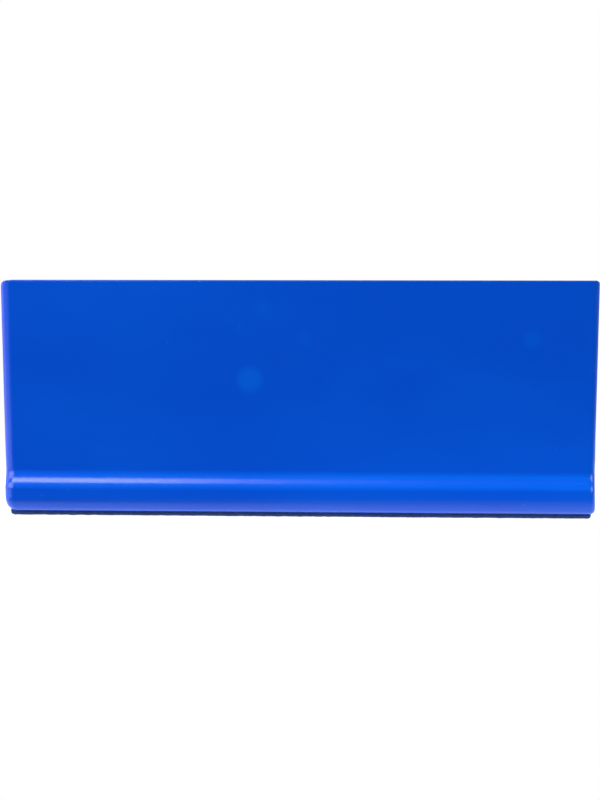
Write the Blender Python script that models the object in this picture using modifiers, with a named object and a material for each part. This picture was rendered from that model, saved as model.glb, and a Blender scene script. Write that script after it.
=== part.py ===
"""Chalkboard eraser: a moulded holder with a rounded foot bead along both long sides, cored out from below
between ribs, a backing board glued into the channel under it, and felt strips glued to the board.

X runs along the eraser, Y across it and Z up. The origin is on the board side of the felt, at its middle.
"""

import math

import bmesh
import bpy
from mathutils import Matrix, Vector

MM = 0.001

# Holder, outside
TOP_LENGTH = 130.0 * MM
END_LEAN = 1.6 * MM  # how far each end leans out between the rim and the top
HOLDER_HEIGHT = 50.6 * MM
GRIP_DEPTH = 46.4 * MM
BEAD_PROJECTION = 1.8 * MM
CROWN_RADIUS = 200.0 * MM
TOP_EDGE_RADIUS = 0.5 * MM
COVE_RADIUS = 3.4 * MM
SHOULDER_RADIUS = 2.8 * MM
BEAD_LAND = 1.8 * MM
FOOT_RADIUS = 2.8 * MM
LEFT_END_RADIUS = 2.4 * MM
LEFT_TOP_RADIUS = 1.5 * MM
RIGHT_END_RADIUS = 1.2 * MM
RIGHT_TOP_RADIUS = 0.6 * MM

# Holder, inside
RIM_WALL = 2.6 * MM
GRIP_WALL = 2.4 * MM
END_WALL = 2.5 * MM
TOP_WALL = 2.4 * MM
CHANNEL_DEPTH = 5.2 * MM
RIB_THICKNESS = 1.8 * MM
POCKET_COLUMNS = 9
POCKET_ROWS = 3
POCKET_DRAFT = math.radians(0.5)

# Wiping pad
FELT_STRIPS = 7
FELT_THICKNESS = 4.6 * MM
FELT_PROUD = 1.2 * MM
FELT_EDGE_RADIUS = 0.5 * MM
PAD_END_INSET = 0.8 * MM

# Backing board
BOARD_THICKNESS = 1.6 * MM

# Fits
GLUE_GAP = 0.3 * MM
CUT_PAST = 2.0 * MM
WELD_DISTANCE = 0.002 * MM

ARC_STEPS = 6
CROWN_STEPS = 8
EDGE_STEPS = 5

# Heights, from the felt's wiping face up
RIM_Z = FELT_PROUD
ROOF_Z = RIM_Z + CHANNEL_DEPTH
BOARD_TOP_Z = ROOF_Z - GLUE_GAP
BOARD_BASE_Z = BOARD_TOP_Z - BOARD_THICKNESS
FELT_TOP_Z = BOARD_BASE_Z - GLUE_GAP
HOLDER_TOP_Z = RIM_Z + HOLDER_HEIGHT
CROWN_EDGE_Z = HOLDER_TOP_Z - CROWN_RADIUS + math.sqrt(CROWN_RADIUS**2 - (GRIP_DEPTH / 2) ** 2)
POCKET_TOP_Z = CROWN_EDGE_Z - TOP_WALL

# Widths and lengths that the sizes above set
BASE_LENGTH = TOP_LENGTH - 2 * END_LEAN
RIM_DEPTH = GRIP_DEPTH + 2 * BEAD_PROJECTION
CHANNEL_WIDTH = RIM_DEPTH - 2 * RIM_WALL
BOARD_WIDTH = CHANNEL_WIDTH - 2 * GLUE_GAP
CAVITY_WIDTH = GRIP_DEPTH - 2 * GRIP_WALL
CAVITY_LENGTH = BASE_LENGTH - 2 * END_WALL
PAD_LENGTH = BASE_LENGTH - 2 * PAD_END_INSET
PAD_WIDTH = BOARD_WIDTH - GLUE_GAP
STRIP_PITCH = (PAD_WIDTH - FELT_THICKNESS) / (FELT_STRIPS - 1)
POCKET_LENGTH = (CAVITY_LENGTH - (POCKET_COLUMNS - 1) * RIB_THICKNESS) / POCKET_COLUMNS
POCKET_PITCH = POCKET_LENGTH + RIB_THICKNESS
POCKET_WIDTH = (CAVITY_WIDTH - (POCKET_ROWS - 1) * RIB_THICKNESS) / POCKET_ROWS
POCKET_SPACING = POCKET_WIDTH + RIB_THICKNESS


def clear_scene():
    for obj in list(bpy.data.objects):
        bpy.data.objects.remove(obj)


def make_collection(name):
    collection = bpy.data.collections.new(name)
    bpy.context.scene.collection.children.link(collection)
    return collection


def make_material(name, colour, roughness):
    material = bpy.data.materials.new(name)
    material.use_nodes = True
    shader = material.node_tree.nodes["Principled BSDF"]
    shader.inputs["Base Color"].default_value = (*colour, 1.0)
    shader.inputs["Roughness"].default_value = roughness
    return material


def new_object(name, mesh, collection):
    obj = bpy.data.objects.new(name, mesh)
    collection.objects.link(obj)
    return obj


def as_cutter(obj):
    obj.hide_render = True
    obj.display_type = "WIRE"
    return obj


def cut(obj, cutter):
    modifier = obj.modifiers.new("cut " + cutter.name, "BOOLEAN")
    modifier.operation = "DIFFERENCE"
    modifier.object = cutter


def shade(mesh):
    mesh.shade_smooth()
    mesh.set_sharp_from_angle(angle=math.radians(35))


def arc(centre, radius, start, end, steps):
    """Points on an arc in the (Y, Z) plane, angles counted from +Y towards +Z."""
    angles = [start + (end - start) * i / steps for i in range(steps + 1)]
    return [(centre[0] + radius * math.cos(a), centre[1] + radius * math.sin(a)) for a in angles]


def extruded_outline(name, outline, length, collection):
    """A mesh of a (Y, Z) outline extruded along X, centred on X = 0."""
    curve = bpy.data.curves.new(name, "CURVE")
    curve.dimensions = "2D"
    curve.fill_mode = "BOTH"
    curve.extrude = length / 2
    spline = curve.splines.new("POLY")
    spline.points.add(len(outline) - 1)
    spline.use_cyclic_u = True
    for point, (y, z) in zip(spline.points, outline):
        point.co = (y, z, 0.0, 1.0)
    guide = new_object(name + " outline", curve, collection)
    guide.matrix_world = Matrix(((0, 0, 1, 0), (1, 0, 0, 0), (0, 1, 0, 0), (0, 0, 0, 1)))
    bpy.context.view_layer.update()
    evaluated = guide.evaluated_get(bpy.context.evaluated_depsgraph_get())
    mesh = bpy.data.meshes.new_from_object(evaluated)
    mesh.transform(guide.matrix_world)
    bpy.data.objects.remove(guide)
    shape = bmesh.new()
    shape.from_mesh(mesh)
    bmesh.ops.remove_doubles(shape, verts=shape.verts, dist=WELD_DISTANCE)
    for side in (-1, 1):
        end_face_pieces = [face for face in shape.faces if all(v.co.x * side > 0 for v in face.verts)]
        bmesh.ops.dissolve_faces(shape, faces=end_face_pieces)
    bmesh.ops.recalc_face_normals(shape, faces=shape.faces)
    shape.to_mesh(mesh)
    shape.free()
    mesh.name = name
    return new_object(name, mesh, collection)


def boxes(name, corners, collection, draft=0.0):
    """One mesh of boxes, each from its low to its high corner, whose tops draw in by the draft angle."""
    shape = bmesh.new()
    for low, high in corners:
        low, high = Vector(low), Vector(high)
        made = bmesh.ops.create_cube(shape, size=1.0)["verts"]
        middle, size = (low + high) / 2, high - low
        for vert in made:
            inset = size.z * math.tan(draft) if vert.co.z > 0 else 0.0
            vert.co.x = middle.x + math.copysign(size.x / 2 - inset, vert.co.x)
            vert.co.y = middle.y + math.copysign(size.y / 2 - inset, vert.co.y)
            vert.co.z = middle.z + vert.co.z * size.z
    mesh = bpy.data.meshes.new(name)
    shape.to_mesh(mesh)
    shape.free()
    return new_object(name, mesh, collection)


def holder_outline():
    """The holder's outside section: foot, bead, shoulder, cove, grip face and crowned top."""
    sweep = math.acos(1 - BEAD_PROJECTION / (SHOULDER_RADIUS + COVE_RADIUS))
    rim_y, grip_y = RIM_DEPTH / 2, GRIP_DEPTH / 2
    shoulder_z = RIM_Z + FOOT_RADIUS + BEAD_LAND
    cove_z = shoulder_z + (SHOULDER_RADIUS + COVE_RADIUS) * math.sin(sweep)
    crown_start = math.acos(grip_y / CROWN_RADIUS)
    foot = arc((rim_y - FOOT_RADIUS, RIM_Z + FOOT_RADIUS), FOOT_RADIUS, -math.pi / 2, 0, ARC_STEPS)
    shoulder = arc((rim_y - SHOULDER_RADIUS, shoulder_z), SHOULDER_RADIUS, 0, sweep, ARC_STEPS)
    cove = arc((grip_y + COVE_RADIUS, cove_z), COVE_RADIUS, math.pi + sweep, math.pi, ARC_STEPS)
    crown = arc((0, HOLDER_TOP_Z - CROWN_RADIUS), CROWN_RADIUS, crown_start, math.pi / 2, CROWN_STEPS)
    near_side = foot + shoulder + cove[1:] + crown
    far_side = [(-y, z) for y, z in reversed(near_side[:-1])]
    return near_side + far_side


def lean_ends(mesh):
    """Moves the end faces so that the holder is longer at its top than at its rim."""
    for vert in mesh.vertices:
        share = (vert.co.z - RIM_Z) / HOLDER_HEIGHT
        half_length = (BASE_LENGTH + (TOP_LENGTH - BASE_LENGTH) * share) / 2
        vert.co.x = math.copysign(half_length, vert.co.x)


def edge_radius(first, second):
    """The rounding of the edge between two corners of the holder, 0 where it stays as it is."""
    on_top = min(first.z, second.z) > CROWN_EDGE_Z - WELD_DISTANCE
    if first.x * second.x < 0:
        return TOP_EDGE_RADIUS if on_top and abs(first.z - CROWN_EDGE_Z) < WELD_DISTANCE else 0.0
    if first.x < 0:
        return LEFT_TOP_RADIUS if on_top else LEFT_END_RADIUS
    return RIGHT_TOP_RADIUS if on_top else RIGHT_END_RADIUS


def round_edges(holder):
    """Rounds the top's long edges and the edge round each end, the left end more than the right."""
    verts = holder.data.vertices
    radii = [edge_radius(*(verts[index].co for index in edge.vertices)) for edge in holder.data.edges]
    share = holder.data.attributes.new("bevel_weight_edge", "FLOAT", "EDGE").data
    for weight, radius in zip(share, radii):
        weight.value = radius / max(radii)
    rounding = holder.modifiers.new("rounded edges", "BEVEL")
    rounding.limit_method = "WEIGHT"
    rounding.width = max(radii)
    rounding.segments = EDGE_STEPS
    rounding.use_clamp_overlap = False


def channel_cutter(collection):
    """The open-ended channel along the underside that the pad lies in."""
    half_length = TOP_LENGTH / 2 + CUT_PAST
    low = (-half_length, -CHANNEL_WIDTH / 2, RIM_Z - CUT_PAST)
    high = (half_length, CHANNEL_WIDTH / 2, ROOF_Z)
    return as_cutter(boxes("channel cutter", [(low, high)], collection))


def pocket_cutter(collection):
    """The drafted pockets that leave the walls and a grid of ribs standing inside the grip."""
    corners = []
    for column in range(POCKET_COLUMNS):
        for row in range(POCKET_ROWS):
            x = -CAVITY_LENGTH / 2 + column * POCKET_PITCH
            y = -CAVITY_WIDTH / 2 + row * POCKET_SPACING
            low = (x, y, ROOF_Z - GLUE_GAP)
            high = (x + POCKET_LENGTH, y + POCKET_WIDTH, POCKET_TOP_Z)
            corners.append((low, high))
    return as_cutter(boxes("pocket cutter", corners, collection, POCKET_DRAFT))


def make_holder(parts, cutters, material):
    holder = extruded_outline("holder", holder_outline(), TOP_LENGTH, parts)
    lean_ends(holder.data)
    shade(holder.data)
    round_edges(holder)
    holder.data.materials.append(material)
    cut(holder, channel_cutter(cutters))
    cut(holder, pocket_cutter(cutters))
    return holder


def make_backing_board(parts, material):
    half_length, half_width = PAD_LENGTH / 2, BOARD_WIDTH / 2
    low, high = (-half_length, -half_width, BOARD_BASE_Z), (half_length, half_width, BOARD_TOP_Z)
    board = boxes("backing_board", [(low, high)], parts)
    board.data.materials.append(material)
    return board


def make_felt_strips(parts, material):
    half_length, half_thickness = PAD_LENGTH / 2, FELT_THICKNESS / 2
    strips = []
    for number in range(FELT_STRIPS):
        low, high = (-half_length, -half_thickness, 0), (half_length, half_thickness, FELT_TOP_Z)
        strip = boxes(f"felt_strip_{number + 1}", [(low, high)], parts)
        strip.location.y = (number - (FELT_STRIPS - 1) / 2) * STRIP_PITCH
        soft_edge = strip.modifiers.new("soft edge", "BEVEL")
        soft_edge.width = FELT_EDGE_RADIUS
        soft_edge.segments = 2
        strip.data.materials.append(material)
        strips.append(strip)
    return strips


def main():
    clear_scene()
    parts = make_collection("chalkboard eraser")
    cutters = make_collection("cutters")
    blue_plastic = make_material("blue moulded plastic", (0.002, 0.075, 0.60), 0.32)
    fibreboard = make_material("pressed fibreboard", (0.075, 0.052, 0.034), 0.85)
    navy_felt = make_material("navy felt", (0.012, 0.018, 0.045), 0.95)

    pieces = [make_holder(parts, cutters, blue_plastic), make_backing_board(parts, fibreboard)]
    pieces += make_felt_strips(parts, navy_felt)

    base = bpy.data.objects.new("eraser base", None)
    parts.objects.link(base)
    for piece in pieces:
        piece.parent = base


main()
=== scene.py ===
import math

import bmesh
import bpy
from mathutils import Euler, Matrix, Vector


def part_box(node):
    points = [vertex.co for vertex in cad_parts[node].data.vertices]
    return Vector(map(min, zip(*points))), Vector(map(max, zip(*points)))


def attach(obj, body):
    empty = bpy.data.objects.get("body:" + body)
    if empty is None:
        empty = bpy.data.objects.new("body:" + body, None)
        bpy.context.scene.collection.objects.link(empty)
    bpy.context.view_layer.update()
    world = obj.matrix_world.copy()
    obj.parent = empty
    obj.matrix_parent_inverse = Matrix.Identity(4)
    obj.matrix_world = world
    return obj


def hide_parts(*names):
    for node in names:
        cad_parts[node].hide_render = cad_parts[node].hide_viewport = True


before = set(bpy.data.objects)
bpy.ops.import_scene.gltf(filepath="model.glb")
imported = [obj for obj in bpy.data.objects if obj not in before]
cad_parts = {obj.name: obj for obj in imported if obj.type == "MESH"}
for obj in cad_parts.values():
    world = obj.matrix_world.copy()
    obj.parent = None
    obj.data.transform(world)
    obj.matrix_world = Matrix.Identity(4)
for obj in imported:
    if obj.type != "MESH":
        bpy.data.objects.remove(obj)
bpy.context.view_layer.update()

MM = 0.001
SAME_PLACE = 0.01 * MM  # coordinates closer than this count as equal
MERGE_DISTANCE = 0.002 * MM

# Sizes of the holder, within 0.8 mm of its solid
HALF_TOP_LENGTH = 65.0 * MM
END_LEAN = 1.6 * MM
RIM_Z = 1.0 * MM
TOP_Z = 51.65 * MM
HALF_GRIP = 23.2 * MM
HALF_RIM = 25.0 * MM
CROWN_RADIUS = 400.0 * MM
TOP_EDGE_RADIUS = 0.15 * MM
COVE_RADIUS = 3.4 * MM
SHOULDER_RADIUS = 2.8 * MM
BEAD_LAND = 1.58 * MM
FOOT_RADIUS = 3.1 * MM
LEFT_END_RADIUS = 2.4 * MM
LEFT_TOP_RADIUS = 1.5 * MM
RIGHT_END_RADIUS = 1.2 * MM
RIGHT_TOP_RADIUS = 0.6 * MM
RIGHT_FLARE = 0.75 * MM  # how far the right end's foot comes back out
FLARE_TOP_Z = 16.0 * MM
HALF_CHANNEL = 22.4 * MM
CHANNEL_ROOF_Z = 6.4 * MM
CHANNEL_EDGE_RADIUS = 0.6 * MM

# Sizes of the felt
FELT_STRIPS = 7
FELT_EDGE_RADIUS = 0.55 * MM
FELT_GRID = 0.42 * MM
MATTED_RELIEF = 0.16 * MM
NUBBLY_RELIEF = 0.10 * MM
RELIEF_LEVEL = 0.75  # the texture's value that leaves a face where it is

# Steps in the roundings, cuts across the crown, and the largest angles that are shaded smooth
BEAD_SEGMENTS = 10
END_SEGMENTS = 9
CHANNEL_SEGMENTS = 4
FELT_SEGMENTS = 3
CROWN_CUTS = 19
HOLDER_SMOOTH_DEG = 32
FELT_SMOOTH_DEG = 60


# Camera, at the photograph's view

SENSOR_MM = 36.0
PHOTO_WIDTH_PX = 600
FOCAL_LENGTH_PX = 3000
CAMERA_PLACE = (50.0 * MM, -668.0 * MM, 31.6 * MM)
YAW, PITCH, ROLL = math.radians(-4.373), math.radians(-0.558), math.radians(0.214)


def set_camera():
    camera = bpy.data.objects.new("camera", bpy.data.cameras.new("camera"))
    bpy.context.scene.collection.objects.link(camera)
    camera.data.sensor_fit = "HORIZONTAL"
    camera.data.sensor_width = SENSOR_MM
    camera.data.lens = SENSOR_MM * FOCAL_LENGTH_PX / PHOTO_WIDTH_PX
    camera.data.clip_start = 0.01
    camera.data.clip_end = 20.0
    camera.location = CAMERA_PLACE
    ahead = Vector((math.sin(YAW) * math.cos(PITCH), math.cos(YAW) * math.cos(PITCH), math.sin(PITCH)))
    turn = ahead.to_track_quat("-Z", "Y").to_matrix() @ Euler((0, 0, ROLL)).to_matrix()
    camera.rotation_euler = turn.to_euler()
    bpy.context.scene.camera = camera


# Modelling helpers

def deselect_all():
    if bpy.context.object and bpy.context.object.mode != "OBJECT":
        bpy.ops.object.mode_set(mode="OBJECT")
    bpy.ops.object.select_all(action="DESELECT")


def make_active(obj):
    deselect_all()
    obj.select_set(True)
    bpy.context.view_layer.objects.active = obj


def start_piece(name, add, location, size):
    """Adds a unit primitive at its size and place as a new piece, with that place in its mesh."""
    deselect_all()
    add(size=1.0, location=location)
    piece = bpy.context.object
    piece.name = piece.data.name = name
    piece.scale = size
    bpy.ops.object.transform_apply(location=True, rotation=True, scale=True)
    return piece


def edit(piece):
    make_active(piece)
    bpy.ops.object.mode_set(mode="EDIT")


def select(piece, kind, wanted):
    """Selects the vertices, edges or faces that the test wants, in edit mode."""
    bpy.ops.mesh.select_mode(type=kind)
    bpy.ops.mesh.select_all(action="DESELECT")
    shape = bmesh.from_edit_mesh(piece.data)
    shape.normal_update()
    for item in {"VERT": shape.verts, "EDGE": shape.edges, "FACE": shape.faces}[kind]:
        item.select_set(wanted(item))
    bmesh.update_edit_mesh(piece.data)


def round_selected(radius, sweep, segments):
    """Rounds the selected edges to a radius, where their two faces turn by the sweep angle."""
    bpy.ops.mesh.bevel(
        offset_type="OFFSET", offset=radius * math.tan(sweep / 2), segments=segments, profile=0.5,
        affect="EDGES", clamp_overlap=False,
    )


def finish_with(piece, kind, **settings):
    """Adds a modifier to a piece and applies it."""
    make_active(piece)
    modifier = piece.modifiers.new(kind.lower(), kind)
    for key, value in settings.items():
        setattr(modifier, key, value)
    bpy.ops.object.modifier_apply(modifier=modifier.name)


def smooth(piece, angle):
    make_active(piece)
    bpy.ops.object.shade_smooth_by_angle(angle=math.radians(angle))


# Shader helpers

class Link:
    """One output of a finish's nodes; arithmetic on it adds Math nodes."""

    def __init__(self, finish, socket):
        self.finish = finish
        self.socket = socket

    def math(self, operation, first, second):
        return self.finish.node("ShaderNodeMath", {"operation": operation}, {0: first, 1: second})

    def __add__(self, other):
        return self.math("ADD", self, other)

    def __sub__(self, other):
        return self.math("SUBTRACT", self, other)

    def __rsub__(self, other):
        return self.math("SUBTRACT", other, self)

    def __mul__(self, other):
        return self.math("MULTIPLY", self, other)

    __radd__ = __add__
    __rmul__ = __mul__

    def between(self, low, high):
        """0 at low, 1 at high and smooth between them."""
        sockets = {"Value": self, "From Min": low, "From Max": high}
        return self.finish.node("ShaderNodeMapRange", {"interpolation_type": "SMOOTHSTEP"}, sockets, "Result")


class Finish:
    """The nodes of a material or of the world."""

    def __init__(self, owner):
        self.owner = owner
        owner.use_nodes = True
        self.nodes = owner.node_tree.nodes
        self.links = owner.node_tree.links
        self.nodes.clear()

    def node(self, kind, settings, sockets, output=0):
        """Adds a node with its settings, then the values or links of its sockets, and gives one output."""
        made = self.nodes.new(kind)
        for key, value in settings.items():
            setattr(made, key, value)
        for key, value in sockets.items():
            if isinstance(value, Link):
                self.links.new(value.socket, made.inputs[key])
            else:
                made.inputs[key].default_value = value
        return Link(self, made.outputs[output]) if made.outputs else None

    def place(self):
        return self.node("ShaderNodeTexCoord", {}, {}, "Object")

    def stretched(self, vector, scale):
        return self.node("ShaderNodeMapping", {}, {"Vector": vector, "Scale": scale})

    def noise(self, vector, scale, detail=3.0, roughness=0.5):
        sockets = {"Vector": vector, "Scale": scale, "Detail": detail, "Roughness": roughness}
        return self.node("ShaderNodeTexNoise", {}, sockets, "Fac")

    def mix(self, factor, first, second):
        return self.node("ShaderNodeMix", {"data_type": "RGBA"}, {0: factor, 6: first, 7: second}, 2)

    def spot(self, vector, centre, inner, outer):
        """1 within the inner distance of a point on the piece, fading to 0 at the outer distance."""
        settings = {"operation": "DISTANCE"}
        distance = self.node("ShaderNodeVectorMath", settings, {0: vector, 1: centre}, "Value")
        return 1.0 - distance.between(inner, outer)

    def bump(self, height, distance, strength=1.0):
        sockets = {"Height": height, "Distance": distance, "Strength": strength}
        return self.node("ShaderNodeBump", {}, sockets)

    def principled(self, sockets):
        shader = self.node("ShaderNodeBsdfPrincipled", {}, sockets)
        self.node("ShaderNodeOutputMaterial", {}, {"Surface": shader})
        return self.owner


def new_finish(name):
    return Finish(bpy.data.materials.new(name))


def rgb(red, green, blue):
    return (red, green, blue, 1.0)


# Finishes

# Pale spots on the grip face, where the colour is lighter, in mm: x, z, full within, gone at; then the
# strength
PALE_SPOTS = (
    (-10.2, 29.7, 1.6, 3.7, 0.95), (-7.6, 45.0, 0.3, 2.2, 0.35),
    (1.6, 38.3, 0.3, 2.4, 0.35), (50.6, 38.6, 0.3, 3.0, 0.6),
)
# Dust specks, in mm: x, y, z; all have one size and strength
DUST_SPECKS = (
    (-49.6, -25.0, 5.9), (-55.2, -25.0, 4.4), (-42.6, -24.7, 7.2), (49.0, -24.9, 3.1),
    (-28.1, -23.2, 37.5), (-12.5, -23.2, 41.0), (-31.1, -23.2, 49.4), (55.7, -23.2, 15.0),
)
DUST_INNER, DUST_OUTER, DUST_STRENGTH = 0.1 * MM, 0.5 * MM, 0.8


def blue_plastic():
    """Satin moulded plastic: cloudy flow in its colour, a few pale spots and a fine grain."""
    finish = new_finish("blue moulded plastic")
    place = finish.place()
    flow = finish.noise(finish.stretched(place, (0.5, 1.0, 1.0)), 38.0, 4.0, 0.55)
    grain = finish.noise(place, 2600.0, 2.0, 0.6)
    scuff = finish.noise(finish.stretched(place, (0.25, 1.0, 1.6)), 420.0, 5.0, 0.65)
    colour = finish.mix(flow.between(0.3, 0.7), rgb(0.0004, 0.072, 0.580), rgb(0.0006, 0.084, 0.615))
    marks = []
    # The pale spots lighten the colour in round patches on the grip face
    for x, z, inner, outer, strength in PALE_SPOTS:
        centre = (x * MM, -HALF_GRIP, z * MM)
        marks.append(finish.spot(place, centre, inner * MM, outer * MM) * strength)
    for speck in DUST_SPECKS:
        centre = tuple(c * MM for c in speck)
        marks.append(finish.spot(place, centre, DUST_INNER, DUST_OUTER) * DUST_STRENGTH)
    colour = finish.mix(sum(marks), colour, rgb(0.0008, 0.104, 0.645))
    rough = 0.22 + 0.03 * scuff.between(0.35, 0.75)
    skin = finish.bump(grain * 0.8 + scuff * 0.2, 0.008 * MM, 0.35)
    return finish.principled({
        "Base Color": colour, "Roughness": rough, "Normal": skin, "IOR": 1.40, "Specular IOR Level": 0.5,
    })


def navy_felt():
    """Pressed wool felt: matted fibres in two tones, rough all over, with a soft sheen."""
    finish = new_finish("navy felt")
    place = finish.place()
    mat = finish.noise(place, 900.0, 5.0, 0.7)
    fibres = finish.noise(finish.stretched(place, (0.35, 1.0, 1.0)), 3200.0, 4.0, 0.7)
    clumps = finish.noise(place, 160.0, 3.0, 0.6)
    colour = finish.mix(fibres.between(0.35, 0.7), rgb(0.009, 0.026, 0.105), rgb(0.024, 0.060, 0.200))
    colour = finish.mix(clumps.between(0.45, 0.75) * 0.5, colour, rgb(0.022, 0.034, 0.100))
    rough = 0.86 + 0.12 * mat
    nap = finish.bump(fibres * 0.6 + mat * 0.4, 0.18 * MM, 0.9)
    return finish.principled({
        "Base Color": colour, "Roughness": rough, "Normal": nap, "Specular IOR Level": 0.2,
        "Sheen Weight": 0.25, "Sheen Roughness": 0.6, "Sheen Tint": rgb(0.35, 0.42, 0.75),
    })


def fibreboard():
    """Pressed fibreboard: brown with dark and pale flecks."""
    finish = new_finish("pressed fibreboard")
    place = finish.place()
    flecks = finish.noise(finish.stretched(place, (0.4, 1.0, 1.0)), 1500.0, 4.0, 0.7)
    cloud = finish.noise(place, 120.0, 3.0, 0.5)
    colour = finish.mix(flecks.between(0.35, 0.7), rgb(0.050, 0.034, 0.022), rgb(0.125, 0.088, 0.058))
    colour = finish.mix(cloud.between(0.4, 0.7) * 0.5, colour, rgb(0.070, 0.052, 0.038))
    surface = finish.bump(flecks, 0.06 * MM, 0.7)
    return finish.principled({"Base Color": colour, "Roughness": 0.80 + 0.15 * flecks, "Normal": surface})


# Holder

def half_length(z):
    return HALF_TOP_LENGTH - END_LEAN * (TOP_Z - z) / (TOP_Z - RIM_Z)


def crown_height(y):
    return TOP_Z - CROWN_RADIUS + math.sqrt(CROWN_RADIUS**2 - y**2)


def make_holder():
    """The moulded grip: raised level by level from its rim, rounded along and at its ends, and channelled."""
    sweep = math.acos(1 - (HALF_RIM - HALF_GRIP) / (SHOULDER_RADIUS + COVE_RADIUS))
    shoulder_z = RIM_Z + FOOT_RADIUS + BEAD_LAND
    cove_z = shoulder_z + (SHOULDER_RADIUS + COVE_RADIUS) * math.sin(sweep)
    shoulder_corner = shoulder_z + SHOULDER_RADIUS * math.tan(sweep / 2)
    cove_corner = cove_z - COVE_RADIUS * math.tan(sweep / 2)
    top_corner = crown_height(HALF_GRIP)
    piece = start_piece(
        "holder_moulding", bpy.ops.mesh.primitive_plane_add, (0, 0, RIM_Z),
        (2 * half_length(RIM_Z), 2 * HALF_RIM, 1.0),
    )
    edit(piece)
    bpy.ops.mesh.select_all(action="SELECT")
    z, half_width = RIM_Z, HALF_RIM
    for next_z, next_half in ((shoulder_corner, HALF_RIM), (cove_corner, HALF_GRIP), (top_corner, HALF_GRIP)):
        bpy.ops.mesh.extrude_region_move(TRANSFORM_OT_translate={"value": (0, 0, next_z - z)})
        bpy.ops.transform.resize(value=(half_length(next_z) / half_length(z), next_half / half_width, 1.0))
        z, half_width = next_z, next_half
    crown_the_top(piece, top_corner)
    for y, z, radius, turn in (
        (HALF_RIM, RIM_Z, FOOT_RADIUS, math.pi / 2),
        (HALF_RIM, shoulder_corner, SHOULDER_RADIUS, sweep),
        (HALF_GRIP, cove_corner, COVE_RADIUS, sweep),
    ):
        select_long_edges(piece, y, z)
        round_selected(radius, turn, BEAD_SEGMENTS)
    bpy.ops.mesh.select_all(action="SELECT")
    bpy.ops.mesh.remove_doubles(threshold=MERGE_DISTANCE)
    bpy.ops.mesh.normals_make_consistent(inside=False)
    round_top_and_ends(piece, top_corner)
    cut_channel(piece)
    flare_right_foot(piece)
    smooth(piece, HOLDER_SMOOTH_DEG)
    finish_with(piece, "WEIGHTED_NORMAL", keep_sharp=True)
    return piece


def select_long_edges(piece, y, z):
    """Selects the edges that run the whole length at one distance from the middle and one height."""
    select(piece, "EDGE", lambda edge: all(
        abs(abs(v.co.y) - y) < SAME_PLACE and abs(v.co.z - z) < SAME_PLACE for v in edge.verts
    ) and abs(edge.verts[0].co.x - edge.verts[1].co.x) > HALF_TOP_LENGTH)


def round_top_and_ends(piece, top_corner):
    """Rounds the top's long edges and the edge round each end in one bevel, the left end the most."""
    widest = max(LEFT_END_RADIUS, RIGHT_END_RADIUS)
    select_long_edges(piece, HALF_GRIP, top_corner)
    bpy.ops.transform.edge_bevelweight(value=TOP_EDGE_RADIUS / widest)
    ends = ((-1, LEFT_END_RADIUS, LEFT_TOP_RADIUS), (1, RIGHT_END_RADIUS, RIGHT_TOP_RADIUS))
    for side, radius, top_radius in ends:
        def at_end(face):
            return face.normal.x * side > 0.95 and face.calc_center_median().x * side > HALF_TOP_LENGTH / 2

        def on_top(edge):
            return all(v.co.z > top_corner - SAME_PLACE for v in edge.verts)

        def round_the_end(edge):
            return any(at_end(face) for face in edge.link_faces)

        select(piece, "FACE", at_end)
        bpy.ops.mesh.dissolve_faces()
        select(piece, "EDGE", lambda edge: round_the_end(edge) and on_top(edge))
        bpy.ops.transform.edge_bevelweight(value=top_radius / widest)
        select(piece, "EDGE", lambda edge: round_the_end(edge) and not on_top(edge))
        bpy.ops.transform.edge_bevelweight(value=radius / widest)
    finish_with(
        piece, "BEVEL", limit_method="WEIGHT", width=widest, segments=END_SEGMENTS, use_clamp_overlap=False,
    )


def crown_the_top(piece, top_corner):
    """Splits the top into rows along its length and raises each to the crown's height."""
    select(piece, "EDGE", lambda edge: all(abs(v.co.z - top_corner) < SAME_PLACE for v in edge.verts)
           and abs(edge.verts[0].co.x - edge.verts[1].co.x) < SAME_PLACE)
    bpy.ops.mesh.subdivide(number_cuts=CROWN_CUTS)
    shape = bmesh.from_edit_mesh(piece.data)
    rows = sorted({round(v.co.y, 6) for v in shape.verts if abs(v.co.z - top_corner) < SAME_PLACE})
    for y in rows[1:-1]:
        select(piece, "VERT", lambda vert: abs(vert.co.y - y) < SAME_PLACE
               and vert.co.z > top_corner - SAME_PLACE)
        bpy.ops.transform.translate(value=(0, 0, crown_height(y) - top_corner))


def cut_channel(piece):
    """Cuts the open-ended channel that the pad lies in, with rounded corners under its roof."""
    depth = CHANNEL_ROOF_Z - RIM_Z
    length = 200 * MM
    cutter = start_piece(
        "channel_cutter", bpy.ops.mesh.primitive_cube_add, (0, 0, CHANNEL_ROOF_Z - depth),
        (length, 2 * HALF_CHANNEL, 2 * depth),
    )
    edit(cutter)
    select(cutter, "EDGE", lambda edge: all(v.co.z > RIM_Z for v in edge.verts)
           and abs(edge.verts[0].co.x - edge.verts[1].co.x) > length / 2)
    round_selected(CHANNEL_EDGE_RADIUS, math.pi / 2, CHANNEL_SEGMENTS)
    finish_with(piece, "BOOLEAN", operation="DIFFERENCE", object=cutter, solver="EXACT")
    bpy.data.objects.remove(cutter)


def flare_right_foot(piece):
    """Moves the low rows of the right end out, the lowest the most, so that the end stands upright there."""
    edit(piece)
    shape = bmesh.from_edit_mesh(piece.data)
    rows = {round(v.co.z, 6) for v in shape.verts if v.co.x > HALF_TOP_LENGTH / 2 and v.co.z < FLARE_TOP_Z}
    for z in sorted(rows):
        select(piece, "VERT", lambda vert: round(vert.co.z, 6) == z and vert.co.x > HALF_TOP_LENGTH / 2)
        share = (FLARE_TOP_Z - z) / (FLARE_TOP_Z - RIM_Z)
        bpy.ops.transform.translate(value=(RIGHT_FLARE * share, 0, 0))
    bpy.ops.object.mode_set(mode="OBJECT")


# Felt

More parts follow.
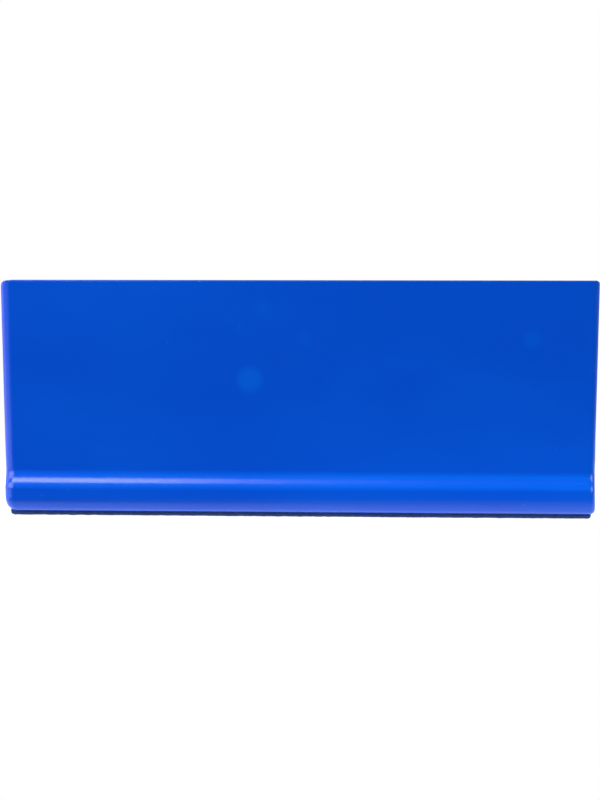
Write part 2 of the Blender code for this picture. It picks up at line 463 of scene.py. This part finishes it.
def make_felt_strip(number, matted, nubbly):
    """One strip of felt: a soft-edged bar, matted and a little uneven, longer where the foot is flared."""
    low, high = (Vector(corner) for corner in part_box(f"felt_strip_{number}"))
    high.x += RIGHT_FLARE
    middle, size = (low + high) / 2, high - low
    piece = start_piece(f"felt_bar_{number}", bpy.ops.mesh.primitive_cube_add, middle, size)
    edit(piece)
    bpy.ops.mesh.select_all(action="SELECT")
    round_selected(FELT_EDGE_RADIUS, math.pi / 2, FELT_SEGMENTS)
    bpy.ops.object.mode_set(mode="OBJECT")
    finish_with(piece, "REMESH", mode="VOXEL", voxel_size=FELT_GRID)
    for texture, relief in ((matted, MATTED_RELIEF), (nubbly, NUBBLY_RELIEF)):
        settings = {"texture": texture, "texture_coords": "LOCAL", "mid_level": RELIEF_LEVEL}
        finish_with(piece, "DISPLACE", strength=relief, **settings)
    smooth(piece, FELT_SMOOTH_DEG)
    return piece


def clouds(name, size, depth):
    texture = bpy.data.textures.new(name, "CLOUDS")
    texture.noise_scale = size
    texture.noise_depth = depth
    return texture


# Studio

ROOM_SIDES = (0.02, 0.02, 0.02)
ROOM_OVERHEAD = (0.0, 0.28, 0.26)
TABLE_GLOW = 0.95
# The table's fade in front of the eraser: a short and a long one, with more of the long one at the right
TABLE_FULL_Y = -24.5 * MM
SHORT_FADE_Y = -31.0 * MM
LONG_FADE_Y = -60.0 * MM
FADE_HALF_SPAN = 70.0 * MM
LONG_SHARE_LEFT, LONG_SHARE_GAIN = 0.08, 0.47


def area_light(name, place, target, width, depth, power, colour=(1.0, 1.0, 1.0)):
    light = bpy.data.lights.new(name, "AREA")
    light.shape = "RECTANGLE"
    light.size, light.size_y, light.energy, light.color = width, depth, power, colour
    lamp = bpy.data.objects.new(name, light)
    bpy.context.scene.collection.objects.link(lamp)
    lamp.location = place
    lamp.rotation_euler = (Vector(target) - Vector(place)).to_track_quat("-Z", "Y").to_euler()


def set_world():
    """White to the camera; to the object, a room that is bright overhead and dim round the sides."""
    world = bpy.data.worlds.new("studio")
    bpy.context.scene.world = world
    finish = Finish(world)
    direction = finish.node("ShaderNodeTexCoord", {}, {}, "Generated")
    height = finish.node("ShaderNodeSeparateXYZ", {}, {"Vector": direction}, "Z")
    room = finish.mix(height.between(-0.1, 1.0), rgb(*ROOM_SIDES), rgb(*ROOM_OVERHEAD))
    seen = finish.node("ShaderNodeLightPath", {}, {}, "Is Camera Ray")
    colour = finish.mix(seen, room, rgb(1.0, 1.0, 1.0))
    background = finish.node("ShaderNodeBackground", {}, {"Color": colour, "Strength": 1.0})
    finish.node("ShaderNodeOutputWorld", {}, {"Surface": background})


def make_floor():
    """A white table top, lit a little from within, that fades out in front and is clear from below."""
    floor = start_piece("table_top", bpy.ops.mesh.primitive_plane_add, (0, 0.15, -0.1 * MM), (1.2, 0.46, 1.0))
    finish = new_finish("white table top")
    place = finish.place()
    cloud = finish.noise(place, 6.0, 3.0, 0.5)
    colour = finish.mix(cloud, rgb(0.40, 0.40, 0.40), rgb(0.44, 0.44, 0.44))
    matt = finish.node("ShaderNodeBsdfDiffuse", {}, {"Color": colour})
    glow = finish.node("ShaderNodeEmission", {}, {"Color": rgb(1, 1, 1), "Strength": TABLE_GLOW})
    both = finish.node("ShaderNodeAddShader", {}, {0: matt, 1: glow})
    forward = finish.node("ShaderNodeSeparateXYZ", {}, {"Vector": place}, "Y")
    sideways = finish.node("ShaderNodeSeparateXYZ", {}, {"Vector": place}, "X")
    clear = finish.node("ShaderNodeBsdfTransparent", {}, {})
    from_below = finish.node("ShaderNodeNewGeometry", {}, {}, "Backfacing")
    short_fade = forward.between(SHORT_FADE_Y, TABLE_FULL_Y)
    long_fade = forward.between(LONG_FADE_Y, TABLE_FULL_Y)
    long_share = LONG_SHARE_LEFT + LONG_SHARE_GAIN * sideways.between(-FADE_HALF_SPAN, FADE_HALF_SPAN)
    shown = (short_fade + (long_fade - short_fade) * long_share) * (1.0 - from_below)
    faded = finish.node("ShaderNodeMixShader", {}, {0: shown, 1: clear, 2: both})
    finish.node("ShaderNodeOutputMaterial", {}, {"Surface": faded})
    floor.data.materials.append(finish.owner)


def light_studio():
    set_world()
    make_floor()
    area_light("overhead softbox", (-0.225, -0.15, 0.50), (-0.225, -0.15, 0.0), 0.29, 0.30, 2.6)
    area_light("cool strip", (0.12, -0.50, 0.44), (0.06, -0.02, 0.02), 0.50, 0.16, 0.45, (0.0, 0.66, 0.60))
    area_light("left panel", (-0.70, 0.25, 0.16), (0.0, 0.0, 0.03), 0.50, 0.40, 1.0, (1.0, 0.75, 0.92))
    area_light("low card", (-0.70, -0.20, -0.07), (-0.06, -0.02, -0.07), 0.75, 0.17, 1.0, (1.0, 0.78, 0.92))
    area_light("right panel", (0.72, 0.25, 0.16), (0.0, 0.0, 0.03), 0.50, 0.40, 0.4)
    area_light("left fill", (-0.74, -0.43, 0.42), (0.0, -0.02, 0.03), 0.90, 0.50, 8.5, (1.0, 0.84, 0.97))
    area_light("right fill", (0.80, -0.42, 0.46), (0.0, -0.02, 0.03), 0.60, 0.50, 6.4)
    bpy.context.scene.view_settings.view_transform = "Standard"


# Assembly

set_camera()

holder = make_holder()
holder.data.materials.clear()
holder.data.materials.append(blue_plastic())
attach(holder, "root")
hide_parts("holder")

felt = navy_felt()
matted_felt, nubbly_felt = clouds("matted felt", 1.6 * MM, 2), clouds("nubbly felt", 0.55 * MM, 1)
for number in range(1, FELT_STRIPS + 1):
    strip = make_felt_strip(number, matted_felt, nubbly_felt)
    strip.data.materials.clear()
    strip.data.materials.append(felt)
    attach(strip, "root")
    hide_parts(f"felt_strip_{number}")

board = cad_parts["backing_board"]
board.data.materials.clear()
board.data.materials.append(fibreboard())

light_studio()
